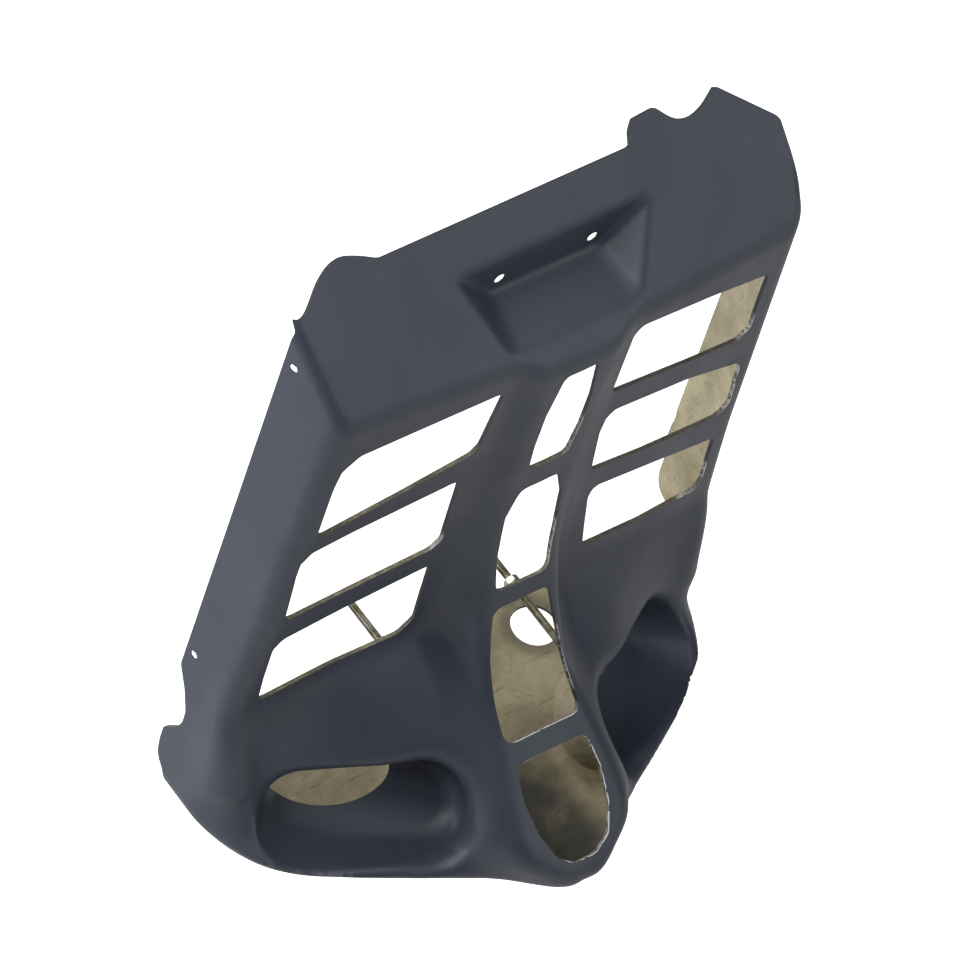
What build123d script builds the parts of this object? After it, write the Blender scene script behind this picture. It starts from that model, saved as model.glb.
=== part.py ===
from build123d import *
import math
import os

# Frame: +Z up, front towards -Y, mirror plane X = 0. The origin is midway between the two top
# bolt holes, on the rear face of the recess wall, where the cover meets its bracket.

# Moulded shell
wall = 3.0
rear_y = 6.0             # trimmed rear edge of the side flanges and of the belly
open_back = 60.0         # the closed envelopes run this far back before they are trimmed
back_margin = 2.0        # extra length of a cutter behind what it cuts

# Louvred front: two flat panels that meet in a shallow vee
panel_centre_y = -57.3
panel_rake = 0.046       # how much further back a panel lies for each mm outwards
panel_half_top = 194.0   # half width of the front at fold height
panel_half_low = 215.0   # half width of the front at floor height
flange_half_top = 208.0  # half width across the rear edges of the flanges
flange_half_low = 214.0
corner_r = 12.0
body_top_z = 75.0
body_low_z = -448.0
fold_z = -32.0           # the fold between panels and top plate, on the mirror plane
floor_z = -478.0

# Top plate
plate_point = (0.0, -57.0, -30.0)
plate_angle = 46.0       # slope from the horizontal
ear_left = [(-211, 32), (-205, 37), (-198, 39), (-180, 52), (-172, 56), (-160, 58), (-148, 55.5), (-132, 50)]
step_right = [(73, 50), (75, 57), (80, 62), (99, 63)]
notch_right = [(99, 63), (111, 54.5), (122, 51.5), (133, 53), (149, 60.5)]
corner_right = [(190, 35), (193, 32), (195.5, 10), (198, -12), (213, -30)]

# Hood over the scoops: straight lines run down and forwards from the crease
crease_z = -326.0        # crease under the louvres, where the hood starts
crease_drop = 0.13       # how much lower the crease lies for each mm outwards
crease_from_x = 60.0
hood_start_z = -318.0
lip_z = -412.0
hood_slope = {44: 1.45, 60: 1.3, 80: 1.08, 100: 0.87, 122: 0.62, 143: 0.42, 160: 0.3, 180: 0.27}
brow_z = -440.0
brow_line = [(25, -211), (50, -191), (80, -167), (115, -140), (143, -113), (170, -82), (195, -61)]
rim_z = -450.0
rim_line = [(25, -214), (50, -197), (82, -176), (115, -157), (145, -140), (177, -119), (200, -94)]
edge_clear = 8.0         # how far from the side the front line of a section stops
edge_turn = 12.0         # how far behind the panel a section reaches its side

# Below the rim the side turns under into the belly as a quarter ellipse
turn_depth = 52.0
turn_steps = (0, 30, 60, 90)

# Spine down the middle, from the fold to the tip of the nose: y, z, half width of its face,
# half width where it stands on the body
spine_profile = [
    (-62, -25, 34, 44), (-61, -110, 34, 44), (-61, -180, 34, 47), (-67, -221, 34, 50), (-78, -272, 34, 53),
    (-94, -312, 34, 56), (-116, -346, 35, 58), (-150, -379, 37, 62), (-187, -413, 37, 66),
    (-213, -429, 31, 66), (-222, -438, 26, 62), (-224, -447, 22, 56), (-216, -458, 18, 50),
]
spine_root_y = -40.0
spine_edge_r = 6.0

# Scoops: each mouth looks up, forwards and outwards from its own plane
mouth_centre = (120.2, -118.5, -427.0)
mouth_normal = (0.518, -0.561, 0.646)
mouth_long = (0.846, 0.502, -0.179)
mouth_length = 152.0
mouth_height = 72.0
mouth_corner_r = 32.0
mouth_reach = 60.0       # how far the cutter runs out in front of the mouth
scoop_depth = 44.0
scoop_floor_z = -465.0

# Vent from each scoop into the back of the cover, an ellipse in the mouth plane: its centre
# outwards along the mouth and up towards the top lip
vent_centre = (20.0, 27.0)
vent_radii = (44.0, 26.0)
vent_tilt = 4.0
vent_start = 26.0        # depth below the mouth where the vent starts
vent_end = 62.0

# Louvres, three each side: half width and height of each corner
louvre_r = 8.0
louvres = [
    [(52, -52), (178, -73), (183, -146), (58, -127)],
    [(61, -153), (185, -172), (188, -238), (65, -224)],
    [(68, -245), (188, -263), (191, -326), (71, -302)],
]
louvre_front = -90.0
louvre_depth = 60.0

# Openings down the spine: half width and height of each corner on the right, corner radius,
# then the point and the slope of the face that they are cut square to
spine_openings = [
    ([(14, -50), (19, -90), (19, -125), (16, -154)], 5.0, (-61, -100), 0.0),
    ([(16, -177), (24, -202), (24, -240), (22, -275)], 7.0, (-66, -225), 8.0),
    ([(24, -293), (29, -322), (31, -353), (23, -372)], 8.0, (-112, -338), 38.0),
    ([(30, -382), (33, -399), (30, -415), (22, -428), (9, -434)], 8.0, (-185, -410), 50.0),
]
spine_opening_reach = 40.0

# Recess for the two top bolts: rear wall, floor that falls to the front, side walls that spread upwards
recess_back_y = -3.0
recess_floor_z = -12.0
recess_floor_fall = 0.21
recess_floor_half = 45.8
recess_side_out = 0.94   # spread of a side wall for each mm upwards
recess_side_turn = 0.37  # spread of a side wall for each mm forwards
bolt_spacing = 77.0
bolt_hole_r = 4.25

# Holes near the rear edge of each flange
flange_hole_r = 3.25
flange_hole_in = 8.0
flange_hole_heights = (2.0, -320.0)
flange_hole_reach = 40.0

# Rear edge of a flange below the straight stretch, seen from the side: a notch, then a tab
flange_rear = [
    (6, -343), (0, -368), (-9, -389), (-10, -396), (1, -405), (1, -427), (-3, -438), (-3, -450),
    (6, -462),
]

# Round openings in the belly
belly_hole_r = 20.0
belly_hole_at = (103.0, -23.0)

# Studs laminated into the inside of the hood, each with a nut and a washer
stud_r = 3.0
stud_at = (56.4, -377.0)
stud_front_y = -112.0
stud_rear_y = 20.0
stud_chamfer = 0.8
thread_clearance = 0.1
boss_r = 10.0
boss_rear_y = -102.0
boss_front_y = -119.0
nut_across = 10.0
nut_height = 5.0
nut_front_y = -30.0
washer_r = 6.0
washer_thickness = 1.6
washer_clearance = 0.2

big = 900.0


def panel_y(x):
    return panel_centre_y + panel_rake * abs(x)


def at_height(top, low, z):
    share = (fold_z - z) / (fold_z - floor_z)
    return top + (low - top) * share


def half_space(point, normal):
    side = Box(big, big, big, align=(Align.CENTER, Align.CENTER, Align.MIN))
    return Plane(point, z_dir=normal) * side


def body_section(z, inset):
    front = at_height(panel_half_top, panel_half_low, z) - inset
    rear = at_height(flange_half_top, flange_half_low, z) - inset
    right = [(rear, open_back), (rear, rear_y), (front, panel_y(front) + inset)]
    left = [(-x, y) for x, y in reversed(right)]
    middle = [(0, panel_y(0) + inset)]
    face = make_face(Polyline(*[(x, y, z) for x, y in right + middle + left], close=True))
    corners = [v for v in face.vertices() if v.Y < rear_y - 1 and abs(v.X) > 1]
    return fillet(corners, radius=corner_r - inset)


def main_body(inset):
    return loft([body_section(body_top_z, inset), body_section(body_low_z, inset)], ruled=True)


def crease_at(x):
    return crease_z - crease_drop * (abs(x) - crease_from_x)


def hood_line(z, inset):
    return [
        (x, panel_y(x) - k * (crease_at(x) - z) + inset * (math.hypot(1, k, k) - 1))
        for x, k in hood_slope.items()
    ]


def front_section(line, z, inset):
    edge = at_height(panel_half_top, panel_half_low, max(z, rim_z)) - inset
    edge_y = panel_y(edge) + edge_turn + inset
    right = [(x, y + inset) for x, y in line if x < edge - edge_clear] + [(edge, edge_y)]
    points = [(-x, y) for x, y in reversed(right)] + right
    front = Spline(*[(x, y, z) for x, y in points])
    rest = Polyline((edge, edge_y, z), (edge, open_back, z), (-edge, open_back, z), (-edge, edge_y, z))
    return make_face([front, rest])


def turn_section(angle, inset):
    drop = (rim_z - floor_z - inset) * math.sin(math.radians(angle))
    moved = (turn_depth - inset) * (1 - math.cos(math.radians(angle)))
    return front_section(rim_line, rim_z - drop, inset + moved)


def lower_body(inset):
    start = front_section(hood_line(hood_start_z, inset), hood_start_z, inset)
    lip = front_section(hood_line(lip_z, inset), lip_z, inset)
    brow = front_section(brow_line, brow_z, inset)
    turn = [turn_section(angle, inset) for angle in turn_steps]
    return loft([start, lip], ruled=True) + loft([lip, brow, turn[0]]) + loft(turn)


def spine_section(y, z, face_half, root_half, inset):
    right = [(root_half - inset, spine_root_y), (face_half - inset, y + inset)]
    left = [(-x, v) for x, v in reversed(right)]
    face = make_face(Polyline(*[(x, v, z) for x, v in right + left], close=True))
    corners = [v for v in face.vertices() if abs(v.Y - y - inset) < 0.01]
    return fillet(corners, radius=spine_edge_r - inset / 2)


def spine(inset):
    return loft([spine_section(*values, inset) for values in spine_profile])


def above_plate(inset):
    tilt = math.radians(plate_angle)
    normal = Vector(0, -math.sin(tilt), math.cos(tilt))
    return half_space(Vector(*plate_point) - normal * inset, normal)


def mouth_plane(side):
    centre_x, centre_y, centre_z = mouth_centre
    long_x, long_y, long_z = mouth_long
    normal_x, normal_y, normal_z = mouth_normal
    return Plane(
        (side * centre_x, centre_y, centre_z),
        x_dir=(side * long_x, long_y, long_z),
        z_dir=(side * normal_x, normal_y, normal_z),
    )


def scoop(side, grow):
    outline = RectangleRounded(mouth_length + 2 * grow, mouth_height + 2 * grow, mouth_corner_r + grow)
    start = mouth_plane(side).offset(-scoop_depth - grow)
    bowl = extrude(start * outline, scoop_depth + grow + mouth_reach)
    return bowl - half_space((0, 0, scoop_floor_z - grow), (0, 0, -1))


def recess(grow):
    block = half_space((0, recess_back_y + grow, 0), (0, -1, 0))
    floor_normal = Vector(0, recess_floor_fall, -1).normalized()
    block -= half_space(Vector(0, recess_back_y, recess_floor_z) + floor_normal * grow, floor_normal)
    for side in (-1, 1):
        normal = Vector(side, recess_side_turn, -recess_side_out).normalized()
        corner = Vector(side * recess_floor_half, recess_back_y, recess_floor_z)
        block -= half_space(corner + normal * grow, normal)
    return block


def envelope(inset):
    body = main_body(inset) + lower_body(inset) + spine(inset) - above_plate(inset)
    for side in (-1, 1):
        body -= scoop(side, inset)
    return body - recess(inset)


def rounded_prism(plane, corners, radius, back, front):
    face = make_face(Polyline(*corners, close=True))
    face = fillet(face.vertices(), radius=radius)
    return extrude(plane.offset(-back) * face, back + front)


def front_plane(y, z=0.0, lean=0.0):
    tilt = math.radians(lean)
    return Plane((0, y, z), x_dir=(1, 0, 0), z_dir=(0, -math.cos(tilt), math.sin(tilt)))


def louvre(corners, side):
    points = [(side * x, z) for x, z in corners]
    return rounded_prism(front_plane(louvre_front), points, louvre_r, louvre_depth, 0)


def spine_opening(corners, radius, centre, lean):
    y, z = centre
    plane = front_plane(y, z, lean)
    level = math.cos(math.radians(lean))
    right = [(x, (height - z) / level) for x, height in corners]
    left = [(-x, v) for x, v in reversed(right)]
    return rounded_prism(plane, right + left, radius, spine_opening_reach, spine_opening_reach)


def vent(side):
    along, up = vent_centre
    ellipse = Pos(along, side * up) * Rot(0, 0, side * vent_tilt) * Ellipse(*vent_radii)
    return extrude(mouth_plane(side).offset(-vent_end) * ellipse, vent_end - vent_start)


def plate_trim():
    half = big / 2
    outer = [(half, corner_right[-1][1]), (half, half), (-half, half), (-half, ear_left[0][1])]
    edge = Spline(*ear_left) + Polyline(ear_left[-1], *step_right) + Spline(*notch_right)
    edge += Polyline(notch_right[-1], *corner_right, *outer, ear_left[0])
    return extrude(front_plane(0) * make_face(edge), half, both=True)


def rear_trim():
    far = open_back + back_margin
    low = floor_z - back_margin
    points = [(far, body_top_z), (rear_y, body_top_z), *flange_rear, (rear_y, low), (far, low)]
    face = make_face(Polyline(*points, close=True))
    return extrude(Plane.YZ * face, big / 2, both=True) - above_plate(wall)


def along_y(x, z, radius, front, rear):
    return extrude(front_plane(rear) * Pos(x, z) * Circle(radius), rear - front)


def flange_hole(side, z):
    hole = Cylinder(flange_hole_r, flange_hole_reach)
    return Pos(side * flange_half_top, rear_y - flange_hole_in, z) * Rot(0, 90, 0) * hole


def belly_hole(side):
    x, y = belly_hole_at
    return Pos(side * x, y, floor_z) * Cylinder(belly_hole_r, 2 * (wall + back_margin))


def bolt_hole(side):
    front = recess_back_y - back_margin
    rear = recess_back_y + wall + back_margin
    return along_y(side * bolt_spacing / 2, 0, bolt_hole_r, front, rear)


def openings():
    cuts = [spine_opening(*values) for values in spine_openings]
    for side in (-1, 1):
        cuts += [louvre(corners, side) for corners in louvres]
        cuts += [flange_hole(side, z) for z in flange_hole_heights]
        cuts += [vent(side), belly_hole(side)]
        cuts.append(bolt_hole(side))
    return cuts


def boss(side):
    x, z = stud_at
    return along_y(side * x, z, boss_r, boss_front_y, boss_rear_y)


def stud_bore(side):
    x, z = stud_at
    return along_y(side * x, z, stud_r + thread_clearance, stud_front_y, stud_rear_y)


def cover_shell():
    hollow = envelope(wall)
    shell = envelope(0) - hollow
    shell -= [plate_trim(), rear_trim(), *openings()]
    for side in (-1, 1):
        shell += boss(side) & hollow
        shell -= stud_bore(side)
    return shell


def stud(side):
    x, z = stud_at
    rod = along_y(side * x, z, stud_r, stud_front_y, stud_rear_y)
    return chamfer(rod.edges().filter_by(GeomType.CIRCLE), stud_chamfer)


def nut(side):
    x, z = stud_at
    body = extrude(front_plane(nut_front_y + nut_height) * Pos(side * x, z) * hexagon(), nut_height)
    return body - along_y(side * x, z, stud_r + thread_clearance, nut_front_y, nut_front_y + nut_height)


def hexagon():
    return RegularPolygon(nut_across / 2, 6, major_radius=False)


def washer(side):
    x, z = stud_at
    rear = nut_front_y
    disc = along_y(side * x, z, washer_r, rear - washer_thickness, rear)
    return disc - along_y(side * x, z, stud_r + washer_clearance, rear - washer_thickness, rear)


os.makedirs("parts", exist_ok=True)
export_step(cover_shell(), "parts/cover_shell.step")
for name, side in (("left", -1), ("right", 1)):
    export_step(stud(side), "parts/" + name + "_stud.step")
    export_step(nut(side), "parts/" + name + "_nut.step")
    export_step(washer(side), "parts/" + name + "_washer.step")
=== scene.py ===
import bpy
import numpy as np
from mathutils import Matrix, Vector


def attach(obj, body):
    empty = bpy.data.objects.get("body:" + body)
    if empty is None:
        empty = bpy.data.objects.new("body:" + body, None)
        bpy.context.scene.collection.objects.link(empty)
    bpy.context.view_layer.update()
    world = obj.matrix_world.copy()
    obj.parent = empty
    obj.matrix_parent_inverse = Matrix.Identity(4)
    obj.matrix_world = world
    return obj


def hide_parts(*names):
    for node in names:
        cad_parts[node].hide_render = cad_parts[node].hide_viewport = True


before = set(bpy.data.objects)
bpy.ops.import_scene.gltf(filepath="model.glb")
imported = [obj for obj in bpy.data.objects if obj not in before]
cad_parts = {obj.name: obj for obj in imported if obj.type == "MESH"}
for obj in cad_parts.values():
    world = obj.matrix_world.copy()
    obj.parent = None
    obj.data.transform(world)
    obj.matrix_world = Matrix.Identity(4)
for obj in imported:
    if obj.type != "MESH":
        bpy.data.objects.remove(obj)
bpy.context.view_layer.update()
print("frame loaded with", len(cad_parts), "nodes")

mm = 0.001  # the drawing of the cover is in millimetres, the scene in metres
leastSlope = 0.2  # of a distance, squared, so that a step along it never grows without end


def roundMax(a, b, r):
    # the larger of two distances, with a quarter circle of radius r where they meet
    u = np.maximum(a + r, 0)
    v = np.maximum(b + r, 0)
    return np.minimum(np.maximum(a, b), -r) + np.hypot(u, v)


def roundMin(a, b, r):
    # the smaller of two distances, with the same quarter circle on the hollow side
    return -roundMax(-a, -b, r)


def ramp(q, start, end):
    # 0 to 1 in a straight line as q goes from start to end, and level beyond them
    return np.clip((q - start) / (end - start), 0, 1)


def ease(q, start=0, end=1):
    # the same with level ends: 3 t^2 - 2 t^3
    t = ramp(q, start, end)
    return t * t * (3 - 2 * t)


def mix(a, b, share):
    return a + (b - a) * share


def smoothCurve(points, q):
    # cubic through the points, its slope at each point taken from the neighbours
    xs, ys = np.array(points, float).T
    slopes = np.gradient(ys, xs)
    q = np.clip(q, xs[0], xs[-1])
    i = np.clip(np.searchsorted(xs, q) - 1, 0, len(xs) - 2)
    span = xs[i + 1] - xs[i]
    t = (q - xs[i]) / span
    rise = ys[i + 1] - ys[i]
    bend = slopes[i] * t * (1 - t) ** 2 - slopes[i + 1] * t * t * (1 - t)
    return ys[i] + span * bend + rise * ease(t)


def ripple(x, y, z, length, seed):
    # uneven height between about -1 and 1: products of sines whose wavelengths share no factor
    k = 2 * np.pi / length
    a = np.sin(k * (0.83 * x + 0.41 * y - 0.37 * z) + seed)
    a = a * np.sin(k * (0.29 * x - 0.71 * y + 0.66 * z) + 2.1 * seed)
    b = np.sin(k * (1.57 * x + 1.13 * z) + 3.3 * seed)
    b = b * np.sin(k * (1.31 * y - 1.73 * z) + 0.7 * seed)
    return 0.6 * a + 0.4 * b


# the cover's outside is a distance that is positive outside the paint
cover = {
    "step": 3.2,
    "low": (-222.0, -232.0, -484.0), "high": (222.0, 44.0, 68.0),
    # the panel's front and half width, and the flanges' half width, each high and low
    "panelY": -57.3, "panelRake": 0.046, "panelHalf": (194.0, 215.0), "flangeHalf": (208.0, 214.0),
    "foldZ": -32.0, "floorZ": -478.0, "rearY": 6.0, "flangeFrontY": -48.0, "flangeAhead": -0.5,
    "platePoint": (-57.0, -30.0), "plateAngle": 46.0, "foldR": 8.0,
    "cornerR": 13.0, "cornerLowR": 32.0, "cornerGrows": (350.0, 430.0),
    # the hood's crease, its lip, and how steeply it meets the rim near the middle and at the sides
    "creaseZ": -326.0, "creaseAt": 60.0, "creaseDrop": 0.13, "creaseSoft": 9.0, "lipZ": -412.0, "rimZ": -456.0,
    "steep": (0.3, 2.5), "steepGrows": (95.0, 175.0), "steepFades": (230.0, 190.0),
    "bellyR": 52.0, "bellySquash": 1.86,
    # a bulge of the corner beside the hood
    "cheek": 4.0, "cheekHalf": 214.4, "cheekGrows": (-240.0, -345.0), "cheekFades": (-350.0, -455.0),
    "cheekFront": (-20.0, -50.0),
    "wall": 3.0, "laminate": 0.35, "laminateLength": 21.0, "laminateFade": 4.0, "snap": 0.3,
}
hoodSlope = [(0, 1.0), (25, 1.2), (44, 1.37), (60, 1.28), (80, 1.08), (100, 0.87), (122, 0.62), (143, 0.42),
             (160, 0.3), (180, 0.27), (200, 0.36), (230, 0.5)]
rimLine = [(0, -186), (25, -190), (50, -190), (82, -175), (115, -157), (145, -140), (177, -119), (200, -94),
           (215, -72), (230, -50)]
spine = {
    "faceY": [(0, -62), (25, -62), (110, -61), (180, -61), (221, -67), (272, -78), (312, -94), (346, -116),
              (379, -150), (413, -187), (429, -209), (438, -217.5), (447, -220.5), (456, -217), (466, -206),
              (480, -184), (500, -150)],
    "faceHalf": [(0, 34), (312, 34), (346, 35), (379, 37), (413, 37), (429, 32), (445, 24), (500, 20)],
    "rootHalf": [(0, 44), (110, 44), (180, 47), (272, 53), (346, 58), (413, 66), (500, 60)],
    "rootY": -40.0, "edgeR": 7.0, "noseEdgeR": 15.0, "noseEdgeGrows": (405.0, 445.0),
    "valleyR": 16.0, "noseBlendR": 34.0, "noseBlendGrows": (340.0, 430.0),
    "rake": 0.9, "rakeGrows": (200.0, 350.0),
}
scoop = {
    "centre": (123.6, -116.5, -427.9), "normal": (0.518, -0.561, 0.646), "along": (0.840, 0.496, -0.215),
    "half": (72.0, 36.0), "endR": 33.0, "depth": 44.0, "floorZ": -465.0, "bowlR": 18.0, "lipR": 7.0,
    "noseLipR": 22.0, "noseLipGrows": (-10.0, -70.0),
    "ventAt": (21.5, 26.0), "ventHalf": (44.0, 26.0), "ventTilt": 4.0, "ventDepth": (26.0, 62.0),
}
recess = {
    "backY": -3.0, "floorZ": -12.0, "fall": 0.21, "half": 45.8, "out": 0.94, "turn": 0.37, "innerR": 4.5,
    "lipR": 3.5,
}


def frontY(x, z):
    # how far forward the front reaches: a panel above the crease, then lines that run down and
    # forwards by the hood's slope, then a cubic that arrives at the rim line
    panel = cover["panelY"] + cover["panelRake"] * x
    crease = cover["creaseZ"] - cover["creaseDrop"] * (x - cover["creaseAt"])
    slope = smoothCurve(hoodSlope, x)
    lipDrop = crease - cover["lipZ"]
    lip = panel - slope * (lipDrop + np.hypot(lipDrop, cover["creaseSoft"])) / 2
    rim = smoothCurve(rimLine, x)
    reach = cover["lipZ"] - cover["rimZ"]
    t = ramp(z, cover["lipZ"], cover["rimZ"])
    steep = mix(*cover["steep"], ease(x, *cover["steepGrows"]) * ramp(x, *cover["steepFades"]))
    curve = mix(lip, rim, ease(t)) - reach * slope * t * (1 - t) ** 2 + reach * steep * t * t * (1 - t)
    below = crease - z
    soft = np.hypot(below, cover["creaseSoft"])
    ruled = panel - slope * (below + soft) / 2
    return np.where(z < cover["lipZ"], curve, ruled), slope * (1 + below / soft) / 2


def mouthPlace(x, y, z):
    # a point in the mouth's own directions: along the mouth, up it, and out of it
    normal = np.array(scoop["normal"]) / np.linalg.norm(scoop["normal"])
    along = np.array(scoop["along"]) / np.linalg.norm(scoop["along"])
    up = np.cross(normal, along)
    d = [q - middle for q, middle in zip((x, y, z), scoop["centre"])]
    return [sum(d[i] * direction[i] for i in range(3)) for direction in (along, up, normal)]


def bowl(x, y, z):
    # a rounded slot carried along the mouth's normal, closed by its back and a level floor
    a, b, c = mouthPlace(x, y, z)
    r = scoop["endR"]
    qa = np.abs(a) - scoop["half"][0] + r
    qb = np.abs(b) - scoop["half"][1] + r
    side = np.hypot(np.maximum(qa, 0), np.maximum(qb, 0)) + np.minimum(np.maximum(qa, qb), 0) - r
    end = roundMax(-c - scoop["depth"], scoop["floorZ"] - z, scoop["bowlR"])
    return roundMax(side, end, scoop["bowlR"]), a


def recessPocket(x, y, z):
    # the pocket for the two bolts: behind it a level wall, below it a floor that falls forwards,
    # beside it a wall that spreads upwards and forwards
    back = y - recess["backY"]
    floor = (recess["floorZ"] - z + recess["fall"] * back) / np.hypot(1, recess["fall"])
    away = np.array([1.0, recess["turn"], -recess["out"]])
    away /= np.linalg.norm(away)
    side = (x - recess["half"]) * away[0] + back * away[1] + (z - recess["floorZ"]) * away[2]
    return roundMax(roundMax(back, floor, recess["innerR"]), side, recess["innerR"])


def plateHeight(y, z):
    # height over the sloping top plate
    tilt = np.radians(cover["plateAngle"])
    return (z - cover["platePoint"][1]) * np.cos(tilt) - (y - cover["platePoint"][0]) * np.sin(tilt)


def flangeDistance(x, y, z):
    # the side flanges: their half width runs from the panel's to the rear edge's, with the cheek on top
    down = (cover["foldZ"] - z) / (cover["foldZ"] - cover["floorZ"])
    halfFront = mix(*cover["panelHalf"], down)
    halfRear = mix(*cover["flangeHalf"], down)
    back = (y - cover["flangeFrontY"]) / (cover["rearY"] - cover["flangeFrontY"])
    back = np.clip(back, cover["flangeAhead"], 1)
    share = ease(z, *cover["cheekGrows"]) * (1 - ease(z, *cover["cheekFades"]))
    cheek = np.minimum(cover["cheek"] * share, np.maximum(cover["cheekHalf"] - halfFront, 0))
    return x - mix(halfFront, halfRear, back) - cheek * ramp(y, *cover["cheekFront"])


def spineDistance(x, y, depth):
    # the spine: a face that leans forwards further down, and flanks that spread towards the root
    faceY, faceHalf, rootHalf = [smoothCurve(spine[key], depth) for key in ("faceY", "faceHalf", "rootHalf")]
    lean = (rootHalf - faceHalf) / (spine["rootY"] - faceY)
    flank = (x - faceHalf - lean * (y - faceY)) / np.hypot(1, lean)
    rake = ramp(depth, *spine["rakeGrows"]) * spine["rake"]
    edgeR = mix(spine["edgeR"], spine["noseEdgeR"], ease(depth, *spine["noseEdgeGrows"]))
    return roundMax((faceY - y) / np.hypot(1, rake), flank, edgeR)


def coverField(x, y, z):
    # the front and the side flanges, joined to the spine, cut by the belly and the top plate, then
    # hollowed by the scoop and the bolt recess; roundMax and roundMin give the moulded radii
    x = np.abs(x)
    depth = -z
    front, slope = frontY(x, z)
    cornerR = mix(cover["cornerR"], cover["cornerLowR"], ease(depth, *cover["cornerGrows"]))
    body = roundMax((front - y) / np.hypot(1, slope), flangeDistance(x, y, z), cornerR)
    blendR = mix(spine["valleyR"], spine["noseBlendR"], ease(depth, *spine["noseBlendGrows"]))
    body = roundMin(body, spineDistance(x, y, depth), blendR)
    body = roundMax(body, (cover["floorZ"] - z) * cover["bellySquash"], cover["bellyR"])
    body = roundMax(body, plateHeight(y, z), cover["foldR"])
    hollow, along = bowl(x, y, z)
    lipR = mix(scoop["lipR"], scoop["noseLipR"], ease(along, *scoop["noseLipGrows"]))
    body = roundMax(body, -hollow, lipR)
    return roundMax(body, -recessPocket(x, y, z), recess["lipR"])


def slopeOf(field, verts):
    # the field's slope at each vertex, from the difference over a tenth of a millimetre
    e = 0.05
    return np.stack([(field(*(verts + d).T) - field(*(verts - d).T)) / (2 * e) for d in np.eye(3) * e], 1)


def surfaceNet(field, low, high, step):
    # a grid of cubes over the field: one vertex in each cube that the surface passes through, at the
    # mean of its edge crossings, and one four-sided face round each grid edge that changes sign
    axes = [np.arange(a, b + step, step) for a, b in zip(low, high)]
    value = field(*np.meshgrid(*axes, indexing="ij"))
    size = np.array(value.shape)
    total = np.zeros(tuple(size - 1) + (3,))
    count = np.zeros(tuple(size - 1))
    unit = np.eye(3, dtype=int)
    crossings = []
    for k in range(3):
        near, far = np.delete(value, -1, k), np.delete(value, 0, k)
        hit = np.argwhere((near < 0) != (far < 0))
        near, far = near[tuple(hit.T)], far[tuple(hit.T)]
        place = hit + unit[k] * (near / (near - far))[:, None]
        i, j = [m for m in range(3) if m != k]
        for di, dj in ((0, 0), (0, 1), (1, 0), (1, 1)):
            cell = hit - di * unit[i] - dj * unit[j]
            ok = ((cell >= 0) & (cell < size - 1)).all(1)
            np.add.at(total, tuple(cell[ok].T), place[ok])
            np.add.at(count, tuple(cell[ok].T), 1)
        crossings.append((k, i, j, hit, near < 0))
    used = count > 0
    index = np.full(used.shape, -1)
    index[used] = np.arange(used.sum())
    verts = total[used] / count[used][:, None] * step + np.array(low)
    faces = []
    for k, i, j, hit, outward in crossings:
        ok = (hit[:, i] > 0) & (hit[:, j] > 0) & (hit[:, i] < size[i] - 1) & (hit[:, j] < size[j] - 1)
        hit, outward = hit[ok], outward[ok]
        corners = []
        for di, dj in ((1, 1), (0, 1), (0, 0), (1, 0)):
            cell = hit - di * unit[i] - dj * unit[j]
            corners.append(index[tuple(cell.T)])
        quad = np.stack(corners, 1)
        flip = outward == (k == 1)
        quad[flip] = quad[flip][:, ::-1]
        faces.append(quad)
    return verts, np.concatenate(faces)


def settle(field, verts, rounds=3):
    # moves each vertex along the field's slope until it lies on the surface
    for _ in range(rounds):
        g = slopeOf(field, verts)
        verts = verts - g * (field(*verts.T) / np.maximum((g ** 2).sum(1), leastSlope))[:, None]
    return verts


# what is cut through the cover, as distances that are negative inside an opening
cuts = {
    "louvreR": 5.5,
    # distance from the middle, height; the corners of the two sides differ
    "leftLouvres": [
        [(57, -51), (140, -56), (170, -58), (182, -69), (184.5, -90), (185, -143), (122, -129), (68, -115),
         (63, -108)],
        [(70, -142), (152, -153), (184, -159), (190.5, -168), (191, -182), (188.5, -236), (141, -229),
         (75, -220), (67.5, -212)],
        [(69, -240), (136, -250), (184, -259.5), (190, -268), (190, -300), (188.5, -330), (132, -319.5),
         (78, -315), (67, -304)],
    ],
    "rightLouvres": [
        [(57, -46.5), (120, -55.5), (174.5, -66), (176.5, -128), (169, -137), (156, -135.5), (123, -130.5),
         (49.5, -117), (50.5, -54)],
        [(61, -143.5), (131, -155), (182, -170.5), (187.5, -222), (179, -232), (163, -230.5), (109, -223),
         (60, -213), (53.5, -165), (55, -149)],
        [(70, -238.5), (140, -252), (186.5, -261.5), (190.5, -316), (186, -323.5), (137, -323),
         (81, -314.5), (68, -250)],
    ],
    "louvreY": (-90.0, -30.0),
    # half width and height of each corner, corner radius, a point of the face, its lean
    "spine": [
        ([(14, -50), (19, -90), (19, -125), (16, -154)], 5.0, (-61, -100), 0.0),
        ([(16, -177), (24, -202), (24, -240), (22, -275)], 7.0, (-66, -225), 8.0),
        ([(24, -293), (29, -322), (31.5, -350), (33, -372)], 8.0, (-112, -338), 38.0),
        ([(30, -382), (33, -399), (30, -415), (22, -428), (9, -434)], 8.0, (-185, -410), 50.0),
    ],
    "spineReach": 40.0,
    "boltR": 4.25, "boltX": 38.5,
    "flangeR": 3.25, "flangeY": -2.0, "flangeZ": (2.0, -320.0), "flangeSide": -1,
    "bellyR": 17.5, "bellyAt": (109.0, -20.0),
    # how deep each kind of hole cuts
    "boltBand": 8.0, "flangeFrom": 180.0, "bellyBelow": -470.0,
    "ragged": 0.1, "raggedLength": 13.0,
    # beside the bolt and flange holes the wall is this share of the full one, which it is again further out
    "thinShare": 0.25, "thinBand": (4.0, 13.0), "thinBoltBand": 10.0, "thinFlangeFrom": 195.0,
}
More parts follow.
